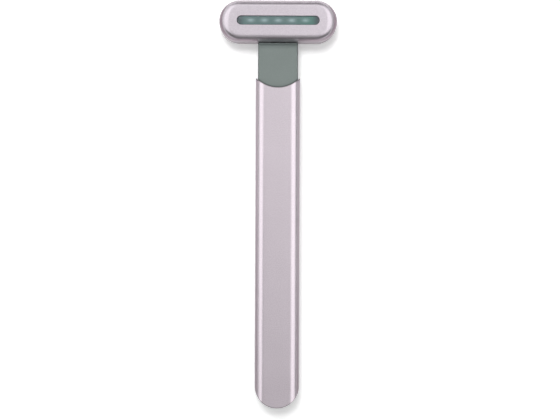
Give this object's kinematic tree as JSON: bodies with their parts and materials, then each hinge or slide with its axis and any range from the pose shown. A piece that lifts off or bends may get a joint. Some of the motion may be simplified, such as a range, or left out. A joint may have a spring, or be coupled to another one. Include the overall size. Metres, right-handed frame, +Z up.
{
  "type": "heated eye massager wand",
  "caption": "Slim T-shaped heated eye massager wand: oblong swivelling head with a lit window, split plastic neck with a push button, rounded aluminium handle tube.",
  "frame": {"origin": "on the surface that the wand lies on, below the middle of its outside box", "axes": "+X across the wand, +Y from the round end of the handle to the head, +Z up out of the lit face; the wand lies on its back"},
  "size_m": [0.049, 0.169, 0.014],
  "materials": {
    "anodised_mauve": "satin",
    "painted_mauve": "satin",
    "sage_plastic": "matte",
    "window_teal": "gloss",
    "white_nylon": "matte",
    "black_plastic": "matte",
    "bright_steel": "brushed",
    "cell_sleeve": "gloss",
    "board_green": "satin",
    "board_white": "satin",
    "led_yellow": "gloss",
    "film_amber": "gloss",
    "soft_rubber": "matte",
    "wire_sleeve": "matte"
  },
  "bodies": {
    "handle": {"handle_shell": "anodised_mauve", "end_cap": "sage_plastic", "usb_shell": "bright_steel", "usb_tongue": "black_plastic", "charge_board": "board_green", "charge_parts": "black_plastic", "charge_leads": "wire_sleeve", "battery_cell": "cell_sleeve", "battery_tabs": "bright_steel", "inner_frame": "white_nylon", "frame_screw": "bright_steel", "main_board": "board_green", "board_parts": "black_plastic", "tact_switch": "black_plastic", "neck_front": "sage_plastic", "neck_back": "sage_plastic", "neck_screws": "bright_steel", "swivel_shaft": "bright_steel", "wave_washer": "bright_steel", "retaining_ring": "bright_steel", "stop_ring": "bright_steel", "head_harness": "wire_sleeve"},
    "button": {"button_cap": "sage_plastic", "switch_plunger": "white_nylon"},
    "head": {"face_plate": "anodised_mauve", "head_back": "painted_mauve", "swivel_bush": "black_plastic", "window_lens": "window_teal", "heater_film": "film_amber", "thermistor": "black_plastic", "led_carrier": "white_nylon", "led_board": "board_white", "leds": "led_yellow", "carrier_screws": "bright_steel", "motor_can": "bright_steel", "motor_boot": "soft_rubber", "head_leads": "wire_sleeve"},
    "rotor": {"motor_shaft": "bright_steel", "eccentric_weight": "bright_steel"}
  },
  "joints": [
    {"name": "head_swivel", "type": "hinge", "parent": "handle", "child": "head", "pos_m": [0, 0.0674, 0.0065], "axis": [0, 1, 0], "range_deg": [-90, 90]},
    {"name": "button_press", "type": "slide", "parent": "handle", "child": "button", "axis": [0, 0, 1], "range_m": [0, 0.0004], "stiffness_N_per_m": 2000, "springref_m": -0.0003},
    {"name": "motor_spin", "type": "hinge", "parent": "head", "child": "rotor", "pos_m": [0.017, 0.07595, 0.0049], "axis": [1, 0, 0], "continuous": true}
  ]
}
